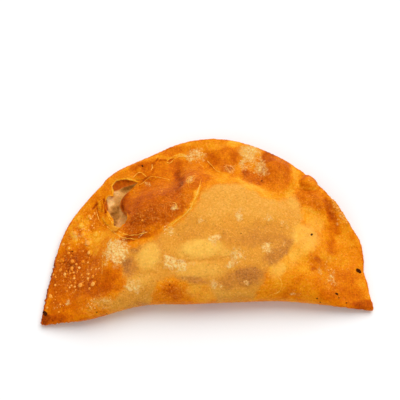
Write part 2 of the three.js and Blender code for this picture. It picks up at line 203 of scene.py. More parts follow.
# Patches of tiny burst blisters, pale and crumbly
CRUMBLY = strokes([
    (-41.4, 29.8, 6, 6, 100, 0.95), (-44.4, 33.4, 2, 2, 0, 0.8), (-46.5, 25, 1.6, 4.5, -15, 0.5),
    (-16, 22.8, 3.8, 3.6, 160, 0.95), (-11.4, 20, 3, 3, 0, 0.8), (-33.6, 12.4, 3.6, 2.8, 0, 0.8),
    (-49, 6, 8, 3, 8, 0.32), (-53, 6, 3, 2.4, 0, 0.4), (-65.6, 8.4, 2.2, 1.7, 0, 0.62),
    (-71, 7.6, 3, 2.6, 0, 0.25), (-2.4, 81.2, 5.2, 4.4, 10, 0.6), (-16.5, 38, 3, 3, 20, 0.64),
    (-29.6, 36.6, 1.6, 1.2, 40, 0.6), (-1.5, 42, 2.2, 2, 0, 0.6), (-13.5, 50, 1.9, 1.7, 0, 0.6),
    (-5.4, 64, 1.8, 2.6, 0, 0.6), (-26.4, 66.4, 1, 2.6, 10, 0.4), (24.6, 80.8, 5.2, 4.8, 0, 0.74),
    (29.7, 72.6, 2.9, 4.6, 12, 0.76), (29, 79, 2, 1.6, 0, 0.5), (21.4, 74.8, 2.2, 3.6, 0, 0.7),
    (26, 75, 3, 2.6, 0, 0.34), (14.6, 73.4, 3, 2.4, 0, 0.42), (17, 44.4, 2.4, 3, 0, 0.72),
    (31, 43, 2.2, 2.2, 20, 0.64), (38.5, 40, 1.8, 3, 0, 0.5), (15.6, 24.4, 3.6, 3, 30, 0.66),
    (13, 20.4, 4, 1.4, 5, 0.7), (4.8, 32.6, 2.6, 2.8, 0, 0.84), (29.4, 27.2, 2.6, 2.4, 0, 0.8),
    (37, 29.6, 1.4, 1.7, 0, 0.6), (4, 11, 3.4, 1.8, 0, 0.66), (19, 11.2, 2.2, 1.4, 0, 0.7),
    (60, 15, 2.4, 4.6, 10, 0.5), (54, 17.4, 1.6, 1.8, 0, 0.5), (66.6, 49, 1.6, 3.4, 20, 0.5),
    (66, 43.4, 1.4, 2.2, 0, 0.5), (62.6, 56.4, 1.4, 2, 20, 0.4), (42, 6.4, 2.6, 1.8, 0, 0.4),
    (-6, 21, 2, 0.8, 10, 0.5), (-60, 42, 3, 2.4, 60, 0.4), (-56, 38, 1.4, 1.4, 0, 0.6),
    (66.5, 49, 6, 1.6, 122, 0.3),
])

# Where small light and dark flecks lie thickest
FLECKED = strokes([
    (-24, 45.5, 15, 6, 18, 1), (-14, 58, 8, 10, 20, 0.7), (-17, 11, 8, 4, 0, 0.8), (-9, 53, 6, 8, 20, 0.9),
    (-58, 45, 10, 7, 50, 0.8), (-61, 24, 14, 11, 70, 0.8), (54, 53, 7, 5, -20, 0.7), (26, 66, 6, 5, 0, 0.8),
    (36, 68, 9, 8, 0, 0.4), (14, 73, 5, 4, 0, 0.6), (60, 20, 9, 7, 40, 0.5), (52, 20, 4, 5, 0, 0.9),
    (23, 71, 4, 4, 0, 0.9), (15, 40, 30, 22, 10, 0.35), (-30, 9, 26, 6, 5, 0.75), (-50, 6, 9, 4, 5, 1),
    (-7, 66, 6, 8, 0, 0.8), (58, 15, 6, 8, 20, 0.8), (66, 49, 8, 4, 120, 0.7),
])

# The torn blister: the outline of the hole in the skin, a slit beside it, and its steep far wall; the slit
# and the far wall get painted shade
TEAR = [
    (-30.2, 68), (-33.6, 65), (-36.6, 62), (-39, 58.6), (-39.6, 56), (-38.4, 52.7), (-36.2, 50.2),
    (-35.7, 47.4), (-37.2, 44.6), (-40, 42), (-42.8, 44.4), (-43.2, 48), (-45.6, 52.6), (-47.2, 56.4),
    (-45.8, 60.7), (-42.7, 61), (-43.2, 66.6), (-41.3, 69.2), (-37.4, 70), (-33, 69.3),
]
TEAR_SLIT = [(-49, 60), (-46.2, 60), (-45.6, 57), (-45.4, 54.4), (-46.4, 52), (-49, 54)]
TEAR_SHADED_WALL = [
    (-30, 68.2), (-32.6, 67.4), (-35.6, 66.6), (-37.8, 65.9), (-39.6, 64.7), (-42, 64), (-44, 63.6),
    (-44, 71), (-30, 71),
]

# How dark the inner dough is, from 0 for pale to 1 for a grey-brown shadow
PLAIN_INNER = 0.4
INNER = strokes([
    (-44, 58, 1.7, 2.8, 10, 0.05), (-32.4, 66.4, 2.8, 1, 20, 0.8), (-41.2, 62.6, 2.2, 1.6, 0, 0.22),
    (-37, 65, 3, 1, 15, 0.75), (-40.6, 57, 1.2, 2.6, 0, 0.6), (-42.6, 52.4, 2.2, 1.6, 10, 0.9),
    (-40.4, 55, 0.8, 1.4, 0, 0.9), (-40.5, 49, 2.6, 1.6, 10, 0.3), (-37.4, 49, 1.4, 2.6, 0, 0.6),
    (-38.8, 45.6, 2.4, 2.2, 0, 0.35), (-42.4, 45.6, 1, 1.6, 0, 0.95), (-35.6, 65.4, 2.6, 1.5, 30, 0.98),
    (-40, 60, 1.6, 1.2, 0, 0.55), (-42.5, 55, 1.4, 1.4, 0, 0.78), (-41.6, 50, 1.8, 1.4, 0, 0.72),
    (-42.6, 48.6, 0.7, 2.6, 20, 0.8),
])

# The rim of the broken skin, in rows from the outside in: how far out, and how high, in millimetres
RIM_STANDING = ((1.6, -0.25), (1.0, 0.1), (0.4, 0.22), (0, 0.24), (-0.35, 0.16))
RIM_CURLED = ((1.6, -0.3), (1.0, -0.05), (0.5, -0.05), (0.1, -0.4), (-0.1, -1.2))
CURLED_RIGHT_OF = -40
CURLED_BELOW = 66
BARE_RIM = (49, 68.1)  # between these the skin of the large blister itself is the hole's right side
LIP_REACH = 1.1  # the rim's height is that of the skin this far outside the hole

# Lines where the brittle skin has cracked or ends, each with how far its lip stands up, in millimetres
CRACKS = [
    ([(0.5, 65), (-0.2, 62.8), (-1.5, 58.2), (-3.2, 53.5), (-5.2, 49.2), (-8.5, 45.4), (-12.2, 42.8),
      (-16, 40), (-19, 37.4)], 0.35),
    ([(-26.5, 37.8), (-30, 37), (-35, 37), (-39, 39), (-41.5, 41.6)], 0.3),
    ([(-31, 34.6), (-34, 35.2), (-38.2, 36.2), (-41.5, 39), (-44.2, 42.5), (-46, 45)], 0.35),
    ([(-32.8, 65.2), (-30.2, 66.4), (-28.2, 67.5), (-26.2, 69.2), (-23.8, 70.5), (-18, 69.2),
      (-15, 67.8)], 0.4),
    ([(-33, 70.6), (-30.8, 72.9), (-29, 73.3), (-27.5, 72.3), (-26.2, 70.8)], 0.3),
    ([(-23.3, 77.6), (-23.4, 76), (-23.9, 74.2)], 0.35),
    ([(-16.2, 79.2), (-14, 81), (-11.5, 82), (-9, 82.8), (-7.2, 82.8)], 0.4),
    ([(-16.4, 78.8), (-14.5, 78), (-12.8, 80), (-10.8, 81.2), (-8.5, 81.5), (-7, 81.2), (-5.5, 79),
      (-5.5, 77)], 0.4),
    ([(-5.8, 59), (-6.2, 63.5), (-4.5, 66.5), (-2.8, 67.2)], 0.25),
    ([(-3.8, 67.4), (-6.6, 65.6), (-7, 63), (-4.8, 62), (-3.2, 64), (-3.8, 67.4)], 0.2),
    ([(-46.5, 53.5), (-44.4, 50.5), (-43.4, 46)], 0.25), ([(-51, 55), (-50.4, 51), (-49, 47.6)], 0.2),
    ([(-33.8, 65), (-32.8, 62.6), (-31.8, 60.2)], 0.15), ([(-33, 64.8), (-34.6, 63.3), (-36, 61.8)], 0.25),
    ([(-0.2, 76.2), (0.8, 75), (1.8, 74)], 0.2), ([(3.5, 77.8), (5.6, 74.4), (7.5, 71.5), (10.2, 69.8)], 0.5),
    ([(-47.6, 36), (-48, 30), (-48.4, 24), (-48.6, 18.6)], 0.1),
    ([(-14.6, 52), (-13, 51.4), (-12, 49.6), (-13.6, 48.4)], 0.2),
    ([(33, 15), (35.5, 11), (34, 7.5), (29, 6.5)], 0.1), ([(-10.8, 13), (-11.4, 10.4), (-10.8, 8)], 0.1),
]

# Creases press the skin in, and ridges push it out: points, half width and height in millimetres
FOLDS = [
    ([(-11.5, 56), (-11.8, 62), (-11, 68), (-12, 75)], 2.4, -0.6),
    ([(60.6, 55), (62.4, 48), (63.6, 42)], 1.4, -0.45),
    ([(-12, 21.5), (-4, 22.4), (4, 22), (11, 23.5)], 0.8, -0.25),
    ([(-14, 14.5), (-6, 13.8), (2, 14.6)], 0.9, -0.25),
    ([(47, 75), (47.5, 69), (46, 62), (40, 57)], 1.2, -0.4),
    ([(52.4, 70.2), (57, 68.4), (58, 64), (56, 60.2), (51.6, 59.4), (47.8, 62), (47.8, 67),
      (52.4, 70.2)], 1, -0.25),
    ([(64, 54), (67, 49), (69.5, 43)], 1.3, 0.7), ([(-46, 70), (-38, 73.6), (-28, 78), (-16, 82)], 1.8, 0.5),
    ([(70.5, 42), (74, 34), (75.4, 24)], 1.4, 0.4),
]

# Round bubbles of the skin itself: place, radius and height in millimetres
BUBBLES = [
    (52.4, 64.4, 4.5, 1.1), (-62, 43.2, 2.4, 0.6), (-54.8, 37.8, 1.9, 0.5), (-59, 16.5, 1.8, 0.5),
    (-29.4, 74.4, 2, 0.4), (-58.8, 47.2, 1.7, 0.5), (-54.5, 51.2, 1.8, 0.4), (-64.5, 36, 1.6, 0.45),
    (-54.5, 32.5, 1.6, 0.5), (-53, 15.8, 1.7, 0.5), (-57.8, 42.4, 1.8, 0.4), (-51.2, 42, 1.7, 0.4),
    (-62.8, 29.2, 1.6, 0.4), (-68, 30.6, 1.5, 0.4), (-63.5, 25.8, 1.3, 0.4),
]

# Thin plates of broken skin beside the hole: outline, rise of the middle, how much it tips, and which way
FLAKES = [
    ([(-50.4, 58.4), (-48.2, 59.4), (-47.2, 56), (-47.6, 52.6), (-49.2, 53.4), (-50.6, 55.6)], 0.4, 0.16, 10),
    ([(-48.6, 50.2), (-46.4, 52.6), (-45.4, 51), (-43.2, 45.8), (-44.2, 44.4),
      (-46.8, 46.6)], 0.34, 0.12, 20),
    ([(-44.8, 43.8), (-42.4, 43.6), (-40.2, 41.4), (-41.4, 39.8), (-43.8, 41)], 0.3, -0.08, -60),
    ([(-33, 70.4), (-30.8, 72.6), (-29, 73), (-27.5, 72), (-26.4, 70.7), (-27.4, 69.5),
      (-29.5, 69)], 0.28, 0.05, 90),
    ([(-25.4, 69.6), (-23.2, 70.8), (-21, 69.4), (-24, 67.8)], 0.25, 0.06, 40),
]

# Small blisters of the left flap: the ones that stand out, by place and radius in millimetres
SMALL_BLISTERS = [
    (-67.5, 38.8, 0.8), (-64.5, 36, 0.6), (-64.8, 33.8, 0.8), (-57.8, 34, 0.5), (-55.5, 37.5, 1.3),
    (-55, 32.5, 0.9), (-54.8, 30.2, 0.5), (-70.2, 30.8, 0.5), (-67.5, 30, 0.7), (-68.2, 28.8, 0.5),
    (-69, 25.8, 1), (-66.8, 23.2, 0.9), (-68.2, 22.5, 0.5), (-63.2, 25.8, 0.8), (-59.8, 25.8, 0.7),
    (-62.2, 21.8, 0.7), (-58, 20.5, 0.5), (-55.2, 21.5, 0.7), (-55.5, 19.2, 0.8), (-53, 19.5, 1),
    (-59.2, 16.5, 1.3), (-53, 15.5, 1.2), (-54.8, 13.8, 0.8), (-53.8, 23.5, 0.5), (-50, 22.8, 0.5),
    (-50.2, 25.8, 0.4), (-55.5, 27.8, 0.6), (-58, 28.8, 1), (-63, 29.2, 0.9), (-60.8, 23.8, 0.4),
    (-64, 20.8, 0.5), (-71.5, 18.5, 0.7), (-73.8, 13.2, 1), (-65.8, 14.8, 0.5), (-52.4, 47.6, 0.6),
    (-49.6, 42.8, 0.5), (-54.4, 51.2, 0.9), (-61.8, 43.4, 1.1), (-19, 59, 0.7), (52.6, 64.8, 0.5),
    (-75.4, 7.6, 0.6), (-72.4, 24, 0.6),
]

# Where smaller ones lie scattered, each zone with how many
BLISTER_FIELDS = strokes([
    (-65, 25, 7, 12, 20, 34), (-57, 21, 8, 8, 60, 24), (-59, 43, 7, 7, 30, 18), (-72, 13, 2.6, 9, 10, 10),
    (-51, 50, 5, 7, 0, 10), (-22, 46, 11, 4, 15, 4), (66, 49.6, 8, 1.8, 118, 34), (62, 22, 10, 12, 0, 10),
])
BLISTER_RADIUS = (0.25, 0.7)
STEEPEST = 0.3  # lumps sit only where the skin's normal points up more than this

# Burnt specks: place and radius in millimetres
SPECKS = [
    (73.6, 19.4, 1.5), (-76.2, 4.8, 1.4), (51.4, 35.5, 0.75), (61.5, 6.9, 0.9), (52, 4.6, 0.45),
    (53.4, 3.2, 0.4), (29.5, 65.2, 0.5), (-63, 34.2, 0.45), (-28.2, 76.6, 0.6), (66, 3, 0.4),
    (-51.5, 2.4, 0.35), (17.5, 35, 0.3), (-17, 12, 0.35), (62.5, 5.4, 0.4), (-47, 1.9, 0.4),
]

# Colours as they show on a screen, each after the value that gives it
TOAST_STEPS = [
    (0, (252, 204, 108)), (0.2, (252, 184, 62)), (0.35, (247, 157, 26)), (0.5, (236, 130, 6)),
    (0.64, (214, 104, 1)), (0.76, (190, 82, 0)), (0.88, (150, 58, 0)), (1, (92, 32, 0)),
]
SAND_STEPS = [
    (0, (240, 169, 72)), (0.3, (231, 153, 52)), (0.6, (212, 134, 52)), (0.85, (184, 112, 52)),
    (1, (148, 88, 36)),
]
INNER_STEPS = [(0, (250, 196, 126)), (0.35, (226, 160, 86)), (0.7, (190, 126, 58)), (1, (128, 74, 20))]
BLISTER_STEPS = [
    (0, (255, 214, 146)), (0.25, (250, 178, 86)), (0.5, (234, 132, 24)), (0.7, (206, 98, 4)),
    (1, (140, 54, 0)),
]


# Working on a piece

def on_table(x, y, z=0.0):
    """A place of the plan in the frame, at height z, in metres"""
    return PLAN_ZERO + Vector((x * MM, y * MM, z))


def heading(turn):
    """Cosine and sine of a turn in degrees"""
    return math.cos(math.radians(turn)), math.sin(math.radians(turn))


def deselect_all():
    bpy.ops.object.select_all(action="DESELECT")


def pick(piece):
    deselect_all()
    piece.select_set(True)
    bpy.context.view_layer.objects.active = piece


@contextmanager
def editing(piece, first_select):
    """Edit mode, with all of a piece selected first or nothing"""
    pick(piece)
    bpy.ops.object.mode_set(mode="EDIT")
    bpy.ops.mesh.select_all(action=first_select)
    yield
    bpy.ops.object.mode_set(mode="OBJECT")


def finish_with(piece, kind, **settings):
    """Adds a modifier and applies it"""
    pick(piece)
    modifier = piece.modifiers.new(kind.title(), kind)
    for name, value in settings.items():
        setattr(modifier, name, value)
    bpy.ops.object.modifier_apply(modifier=modifier.name)


def refine_top(piece):
    """Cuts each face that shows from above into four"""
    normals = np.empty(len(piece.data.polygons) * 3)
    piece.data.polygons.foreach_get("normal", normals)
    with editing(piece, "DESELECT"):
        bpy.ops.mesh.select_mode(type="FACE")
    piece.data.polygons.foreach_set("select", normals.reshape(-1, 3)[:, 2] > TOP_NORMAL)
    bpy.ops.object.mode_set(mode="EDIT")
    bpy.ops.mesh.subdivide(number_cuts=1, smoothness=0)
    bpy.ops.object.mode_set(mode="OBJECT")


def make_crust():
    """The skin: a finer copy of the solid, its loose triangles first joined and paired into quads"""
    pick(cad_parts["empanada"])
    bpy.ops.object.duplicate()
    crust = bpy.context.object
    crust.name = "crust"
    crust.parent = None
    with editing(crust, "SELECT"):
        bpy.ops.mesh.remove_doubles(threshold=0.001 * MM)
        bpy.ops.mesh.tris_convert_to_quads()
    finish_with(crust, "SUBSURF", levels=1, render_levels=1)
    finish_with(crust, "REMESH", mode="VOXEL", voxel_size=VOXEL)
    finish_with(crust, "SMOOTH", factor=0.5, iterations=3)
    refine_top(crust)
    finish_with(crust, "SMOOTH", factor=0.5, iterations=2)
    return crust


# Masks over the skin

Places = namedtuple("Places", "x y z up wobble")


def places_of(piece):
    """Plan place, height and upward tilt of each vertex, and a slow noise that makes outlines uneven"""
    corners, normals = np.empty((2, len(piece.data.vertices) * 3))
    piece.data.vertices.foreach_get("co", corners)
    piece.data.vertices.foreach_get("normal", normals)
    x, y, z = ((corners.reshape(-1, 3) - PLAN_ZERO) / MM).T
    at = Places(x, y, z, normals.reshape(-1, 3)[:, 2], 0)
    return at._replace(wobble=waves(at, 4.5, 1) + 0.5 * waves(at, 1.6, 2))


def waves(at, length, layer):
    """Smooth noise from -1 to 1 at each place, about length millimetres from crest to crest"""
    shift = LAYER_SHIFT * layer
    spots = zip(at.x, at.y, at.z)
    return np.array([noise.noise((x / length + shift, y / length, z / length)) for x, y, z in spots])


def strayed(at, far, length, layer):
    """The same places, each strayed by up to far millimetres, so that outlines painted there are ragged"""
    return at._replace(x=at.x + far * waves(at, length, layer), y=at.y + far * waves(at, length, layer + 1))


def smooth(value, low, high):
    """0 at low and 1 at high, with a smooth way between them"""
    share = np.clip((value - low) / (high - low), 0, 1)
    return share * share * (3 - 2 * share)


def from_line(at, points):
    """Distance to a line through plan points, in millimetres"""
    nearest = np.full(len(at.x), np.inf)
    for (ax, ay), (bx, by) in zip(points, points[1:]):
        dx, dy = bx - ax, by - ay
        share = np.clip(((at.x - ax) * dx + (at.y - ay) * dy) / (dx * dx + dy * dy), 0, 1)
        nearest = np.minimum(nearest, np.hypot(at.x - ax - share * dx, at.y - ay - share * dy))
    return nearest


def inside(at, outline):
    """Distance inside a closed outline, in millimetres, below 0 outside it"""
    within = np.zeros(len(at.x), bool)
    ring = outline + outline[:1]
    for (ax, ay), (bx, by) in zip(ring, ring[1:]):
        if ay != by:
            where = ax + (at.y - ay) * (bx - ax) / (by - ay)
            within ^= ((ay > at.y) != (by > at.y)) & (at.x < where)
    return np.where(within, 1, -1) * from_line(at, ring)


def near_outlines(at, outlines):
    """1 on closed outlines, and 0 farther away"""
    nearest = np.min([from_line(at, outline + outline[:1]) for outline in outlines], axis=0)
    return 1 - smooth(nearest, 0.1, 0.55)


def rim_distance(at):
    """Distance in from the outline on the plan, in millimetres. The outline is found from the vertex that is
    farthest out in each two degrees round the middle."""
    angle = np.degrees(np.arctan2(at.y - MIDDLE_Y, at.x)).astype(int)
    reach = np.hypot(at.x, at.y - MIDDLE_Y)
    outline = []
    for step in range(-180, 180, 2):
        near = np.flatnonzero((angle >= step) & (angle < step + 2))
        if len(near):
            farthest = near[np.argmax(reach[near])]
            outline.append((at.x[farthest], at.y[farthest]))
    return from_line(at, outline + outline[:1])


def in_zone(at, zone, blur=0.3, wobble=0.14):
    """1 inside a zone and 0 outside, blurred over a share of its size at its rim"""
    cos, sin = heading(zone.turn)
    across, along = at.x - zone.x, at.y - zone.y
    out = np.hypot((across * cos + along * sin) / zone.a, (along * cos - across * sin) / zone.b)
    return 1 - smooth(out + wobble * at.wobble, 1 - blur, 1 + blur)


def on_streak(at, streak):
    """1 on a streak and 0 away from it"""
    return 1 - smooth(from_line(at, streak.points) / streak.half + 0.4 * at.wobble, 0.1, 1.5)


def most_of(at, zones, **look):
    """The strongest zone at each place"""
    return np.max([zone.amount * in_zone(at, zone, **look) for zone in zones], axis=0)


def painted(at, plain, layers, blur=0.42, wobble=0.12):
    """A value over the skin: the plain one, with each stroke painted over those before it"""
    value = np.full(len(at.x), float(plain))
    for stroke in layers:
        cover = on_streak(at, stroke) if isinstance(stroke, Streak) else in_zone(at, stroke, blur, wobble)
        value += (stroke.amount - value) * cover
    return value


def under_zones():
    """Browned and lighter places of the underside, by chance: how many, half length, and how browned"""
    dice = random.Random(SKIN_SEED)
    for count, size, amounts in ((16, (5, 13), (0.58, 0.76)), (12, (4, 10), (0.22, 0.4))):
        for _ in range(count):
            a = dice.uniform(*size)
            place = (dice.uniform(-62, 62), dice.uniform(8, 76))
            yield Zone(*place, a, a * dice.uniform(0.5, 0.9), dice.uniform(0, 180), dice.uniform(*amounts))


def under_crumbly():
    """Crumbly places of the underside, by chance"""
    dice = random.Random(SKIN_SEED + 1)
    spans = Zone(x=(-60, 60), y=(6, 76), a=(1.8, 5.5), b=(1.5, 4), turn=(0, 180), amount=(0.4, 0.9))
    for _ in range(26):
        yield Zone(*(dice.uniform(*span) for span in spans))


def bubble_light_and_shade(at):
    """Painted shade round the foot of each bubble and a painted highlight on it, given as more and less toast
    """
    shade = 0 * at.x
    for x, y, radius, _ in BUBBLES:
        out = np.hypot(at.x - x, at.y - y) / radius
        shade += 0.08 * np.exp(-((out - 1.2) / 0.3) ** 2) - 0.1 * smooth(out, 0.9, 0.5)
    return shade


def paint(piece, name, values):
    """Keeps a mask on the piece, one value for each vertex, for its material to read"""
    layer = piece.data.attributes.new(name, "FLOAT", "POINT")
    layer.data.foreach_set("value", np.clip(values, 0, 1).astype(np.float32))


def paint_masks(piece, at, rim, lighter):
    """The masks that the dough's material reads. Lighter is how much less browned each place is: the broken
    edges are paler, and partly a painted highlight where they catch the light.
    """
    top = smooth(at.up, -0.5, -0.15)
    strewn = strayed(strayed(at, 1.5, 7, 3), 0.8, 2.4, 5)
    near = strayed(at, 0.8, 2.2, 7)
    ragged = strayed(strayed(at, 1.6, 4.5, 9), 0.9, 1.6, 11)
    # The toast takes in the painted highlight and painted shade of the bubbles
    toast_and_painted_light = (painted(strewn, PLAIN_TOAST, TOAST_AND_PAINTED_SHADE) + bubble_light_and_shade(at)) * top
    toast_and_painted_light += painted(strewn, PLAIN_TOAST, under_zones(), blur=0.5) * (1 - top)
    toast_and_painted_light += 0.06 * waves(at, 7, 13) + 0.05 * at.wobble - lighter
    toast_and_painted_light += 0.08 * (1 - smooth(rim, 0, 1.4)) * (at.y > SEAL_FROM)
    crumbs = most_of(ragged, CRUMBLY, blur=0.6, wobble=0.2) * top
    crumbs += most_of(ragged, under_crumbly(), blur=0.6, wobble=0.2) * (1 - top)
    hole = smooth(inside(at, TEAR), -0.1, 0.4) * top if piece.name == "crust" else 0 * at.x
    # Painted shade in the hole: on its steep sides, on its far wall and in the slit
    shaded_wall = np.max([
        1 - smooth(at.up, 0.25, 0.6),
        smooth(inside(at, TEAR_SHADED_WALL) + 0.2 * at.wobble, -0.4, 0.4),
        smooth(inside(at, TEAR_SLIT), -0.3, 0.3),
    ], axis=0)
    for name, values in {
        "toast_and_painted_light": toast_and_painted_light,
        "window": smooth(inside(near, WINDOW) + 0.8 * at.wobble, -0.6, 2.4) * top,
        "sand_and_shade": painted(strewn, PLAIN_SAND, SAND_AND_SHADE, blur=0.5),
        "glow": most_of(near, GLOWS, blur=0.4) * top,
        "crumbs": crumbs,
        "flecks": 0.12 + most_of(near, FLECKED, blur=0.5) * top + 0.3 * (1 - top),
        "shaded_wall": hole * shaded_wall,
        "torn": hole,
        "inner": painted(near, PLAIN_INNER, INNER, blur=0.55, wobble=0.3),
    }.items():
        paint(piece, name, values)


# Relief

def texture(kind, size, **settings):
    """A pattern for relief, size millimetres from lump to lump"""
    made = bpy.data.textures.new(kind, kind)
    made.noise_scale = size * MM
    for name, value in settings.items():
        setattr(made, name, value)
    return made


def raise_skin(piece, weights, height, pattern=None):
    """Moves the skin outwards by height in millimetres where the weights are 1, with a pattern if any"""
    group = piece.vertex_groups.new(name="raised")
    for index in np.flatnonzero(weights > 0.002):
        group.add([int(index)], float(min(1, weights[index])), "REPLACE")
    finish_with(
        piece, "DISPLACE", vertex_group="raised", strength=height * MM, direction="NORMAL",
        mid_level=0.5 if pattern else 0, texture=pattern, texture_coords="LOCAL",
    )
    piece.vertex_groups.remove(piece.vertex_groups["raised"])


def relief(crust):
    """Creases, bubbles, crumbly patches and waves of the skin, and the teeth of its rim"""
    at = places_of(crust)
    rim = rim_distance(at)
    away = smooth(rim, 0, 2.5)
    hole = smooth(inside(at, TEAR), -0.4, 0.4)
    skin = smooth(at.up, -0.1, 0.25) * (1 - hole)
    round_rim = (1 - smooth(rim, 0.5, 1.5)) * (1 - smooth(np.abs(at.up), 0.4, 0.9))
    # The browned skin ends in a step where the sandy skin begins, left of the middle
    browned_edge = smooth(-inside(at, WINDOW), -0.1, 0.5) * smooth(at.x, -46, -40) * smooth(-at.x, -2, 1)
    crumbly = most_of(at, CRUMBLY, blur=0.35, wobble=0.4)
    # The teeth of the rim are small but for the lower left
    teeth = (1 - smooth(rim, 0.3, 1.6)) * (0.16 + 0.84 * smooth(-at.x, 60, 68) * smooth(36 - at.y, 0, 4))
    # Each layer has weights, a height in millimetres, and a pattern if any
    layers = [(round_rim, 0.25)]
    for points, half, height in FOLDS:
        layers.append((np.exp(-(from_line(at, points) / half) ** 2) * skin, height))
    for x, y, radius, height in BUBBLES:
        dome = np.sqrt(np.clip(1 - ((at.x - x) ** 2 + (at.y - y) ** 2) / radius ** 2, 0, 1))
        layers.append((dome * skin, height))
    layers += [
        (browned_edge * skin * smooth(at.y, 34, 37), 0.35),
        (crumbly * skin, 0.16, texture("VORONOI", 1.1, noise_intensity=1.4)),
        (skin * away, 0.5, texture("CLOUDS", 3.2)),
        ((0.4 + 0.6 * away) * (1 - 0.5 * hole), 0.16, texture("CLOUDS", 0.9)),
        (hole, 1.2, texture("CLOUDS", 2.4)),
        (teeth, 1.6, texture("CLOUDS", 1.3, noise_depth=1)),
        (smooth(-at.up, 0, 0.3) * away, 0.7, texture("CLOUDS", 3.6)),
    ]
    for layer in layers:
        raise_skin(crust, *layer)
    for vertex in crust.data.vertices:
        vertex.co.z = max(vertex.co.z, 0)  # nothing hangs below the table


# Materials

def srgb(red, green, blue):
    """A colour given as it shows on a screen, 0 to 255"""
    return tuple((value / 255) ** 2.2 for value in (red, green, blue)) + (1,)


YELLOW = srgb(255, 197, 87)
CREAM = srgb(255, 219, 142)
PALE_CRUST = srgb(246, 174, 80)
LIGHT_FLECK = srgb(246, 160, 56)
GAP = srgb(214, 118, 18)
FLECK_BROWN = srgb(178, 84, 6)
# Painted shade for the hole's far wall, steep sides and slit, deep and softer
WALL_SHADE_DEEP = srgb(168, 70, 4)
WALL_SHADE_SOFT = srgb(202, 96, 14)
BURNT = srgb(38, 14, 6)
BURNT_LIGHT = srgb(110, 44, 14)
OILY = (1, 0.64, 0.2, 1)  # the tint of the sheen


class Wire:
    """An output of a node that can be reckoned with: each sum, difference or product adds a Math node"""

    def __init__(self, socket):
        self.socket = socket
        self.tree = socket.id_data

    def reckon(self, operation, first, second):
        return Wire(put(self.tree, "Math", {"operation": operation}, in0=first, in1=second).outputs[0])

    def __add__(self, other):
        return self.reckon("ADD", self, other)

    def __sub__(self, other):
        return self.reckon("SUBTRACT", self, other)

    def __rsub__(self, other):
        return self.reckon("SUBTRACT", other, self)

    def __mul__(self, other):
        return self.reckon("MULTIPLY", self, other)

    def at_most(self, limit):
        return self.reckon("MINIMUM", self, limit)

    def ranged(self, low, high, to_low=0, to_high=1):
        """Stretched from one range to another, and held inside it"""
        ranges = {"From_Min": low, "From_Max": high, "To_Min": to_low, "To_Max": to_high}
        return Wire(put(self.tree, "MapRange", Value=self, **ranges).outputs[0])


def feed(node, **inputs):
    """Sets a node's inputs to values, or links wires to them. in6 is the input at place 6."""
    for name, value in inputs.items():
        socket = node.inputs[int(name[2:]) if name[2:].isdigit() else name.replace("_", " ")]
        if isinstance(value, Wire):
            node.id_data.links.new(value.socket, socket)
        else:
            socket.default_value = value
    return node


def put(tree, kind, settings=None, **inputs):
    """Adds a node with its settings and inputs"""
    made = tree.nodes.new("ShaderNode" + kind)
    for name, value in (settings or {}).items():
        setattr(made, name, value)
    return feed(made, **inputs)


def blend(tree, share, first, second, kind="MIX"):
    """Two colours mixed"""
    settings = {"data_type": "RGBA", "blend_type": kind}
    return Wire(put(tree, "Mix", settings, in0=share, in6=first, in7=second).outputs[2])


def noise_at(tree, where, scale, detail, roughness=0.5):
    pattern = put(tree, "TexNoise", Vector=where, Scale=scale, Detail=detail, Roughness=roughness)
    return Wire(pattern.outputs[0])


def cells_at(tree, where, scale):
    """How far each place is from the middle of its cell, and a chance that is the same all over the cell"""
    cells = put(tree, "TexVoronoi", Vector=where, Scale=scale)
    chance = put(tree, "SeparateColor", Color=Wire(cells.outputs["Color"])).outputs[0]
    return Wire(cells.outputs["Distance"]), Wire(chance)


def colour_steps(tree, value, steps):
    """Colour from a value, through the given steps"""
    ramp = put(tree, "ValToRGB", Fac=value)
    marks = ramp.color_ramp.elements
    while len(marks) < len(steps):
        marks.new(0.5)
    for mark, (place, colour) in zip(marks, steps):
        mark.position = place
        mark.color = srgb(*colour)
    return Wire(ramp.outputs[0])


def outputs_of(node):
    return {socket.name: Wire(socket) for socket in node.outputs}


def new_group(name, inputs, outputs):
    """A node group and its inputs: the named numbers and a Vector. Of its outputs, Color is a colour."""
    group = bpy.data.node_groups.new(name, "ShaderNodeTree")
    for label, value in inputs.items():
        number = group.interface.new_socket(label, in_out="INPUT", socket_type="NodeSocketFloat")
        number.default_value = value
    group.interface.new_socket("Vector", in_out="INPUT", socket_type="NodeSocketVector")
    for label in outputs:
        kind = "NodeSocketColor" if label == "Color" else "NodeSocketFloat"
        group.interface.new_socket(label, in_out="OUTPUT", socket_type=kind)
    return group, outputs_of(group.nodes.new("NodeGroupInput"))


def closed(group, **outputs):
    """The group, its outputs linked"""
    feed(group.nodes.new("NodeGroupOutput"), **outputs)
    return group


def use(tree, group, **inputs):
    """The outputs of a node that runs a group"""
    return outputs_of(put(tree, "Group", {"node_tree": group}, **inputs))


def uneven_group(name, steps):
    """Colour from how toasted or dark the dough is, with slow mottling and fine freckles"""
    group, given = new_group(name, {"Value": 0.5, "Mottling": 0.12, "Freckles": 0.1}, ["Color", "Value"])
    value = given["Value"]
    for scale, detail, share in ((230, 6, "Mottling"), (1300, 3, "Freckles")):
        swing = (noise_at(group, given["Vector"], scale, detail, 0.65) - 0.5) * 2
        value = value + swing * given[share]
    return closed(group, Color=colour_steps(group, value, steps), Value=value)


